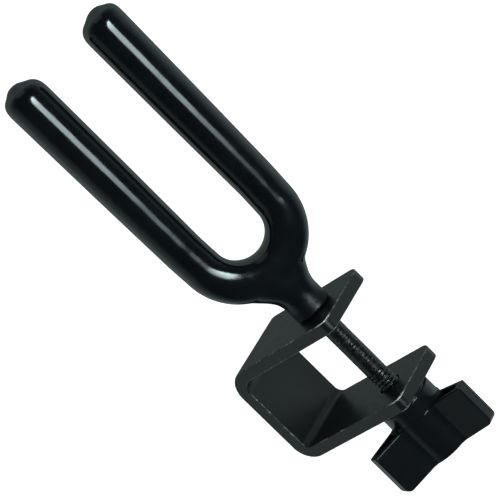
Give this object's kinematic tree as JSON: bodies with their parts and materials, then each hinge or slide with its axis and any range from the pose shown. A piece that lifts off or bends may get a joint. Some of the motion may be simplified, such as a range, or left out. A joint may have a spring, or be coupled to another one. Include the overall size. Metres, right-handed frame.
{
  "type": "clamp-on fork rest",
  "caption": "C-shaped strap bracket for a square rail, with a coated two-tine fork whose threaded stem passes through it into a three-wing clamping knob.",
  "frame": {"origin": "middle of the bracket web's inner face, where the side of the square rail seats", "axes": "+X out of the web towards the arms' free ends, +Z along the stem towards the tines, +Y across the strap; at rest the fork's plane is turned 45 degrees about Z from +X towards +Y"},
  "size_m": [0.0663, 0.0441, 0.1991],
  "materials": {
    "bracket_paint": "satin black paint, worn bright at the arms' free corners",
    "fork_vinyl": "glossy dipped black vinyl with long soft highlights",
    "rod_steel": "plain hot-rolled bar",
    "weld_steel": "as welded",
    "stem_black": "lumpy black coating over the thread, glinting on its crests",
    "washer_zinc": "bright zinc plate",
    "insert_brass": "turned brass",
    "knob_plastic": "moulded black plastic, satin gloss"
  },
  "bodies": {
    "bracket": {"clamp_bracket": "bracket_paint"},
    "fork": {"fork_coating": "fork_vinyl", "fork_rod": "rod_steel", "neck_weld": "weld_steel", "stem_stud": "stem_black"},
    "washer": {"thrust_washer": "washer_zinc"},
    "knob": {"knob_insert": "insert_brass", "knob_body": "knob_plastic"}
  },
  "joints": [
    {"name": "fork_swivel", "type": "hinge", "parent": "bracket", "child": "fork", "pos_m": [0.0372, 0, 0.0217], "axis": [0, 0, 1], "continuous": true},
    {"name": "knob_travel", "type": "slide", "parent": "fork", "child": "washer", "axis": [0, 0, -1], "range_m": [0, 0.01625]},
    {"name": "knob_turn", "type": "hinge", "parent": "washer", "child": "knob", "pos_m": [0.0372, 0, -0.0239], "axis": [0, 0, -1], "range_deg": [0, 4140]}
  ],
  "couplings": [
    {"joint": "knob_travel", "follows": "knob_turn", "m_per_rad": 0.00022459}
  ]
}
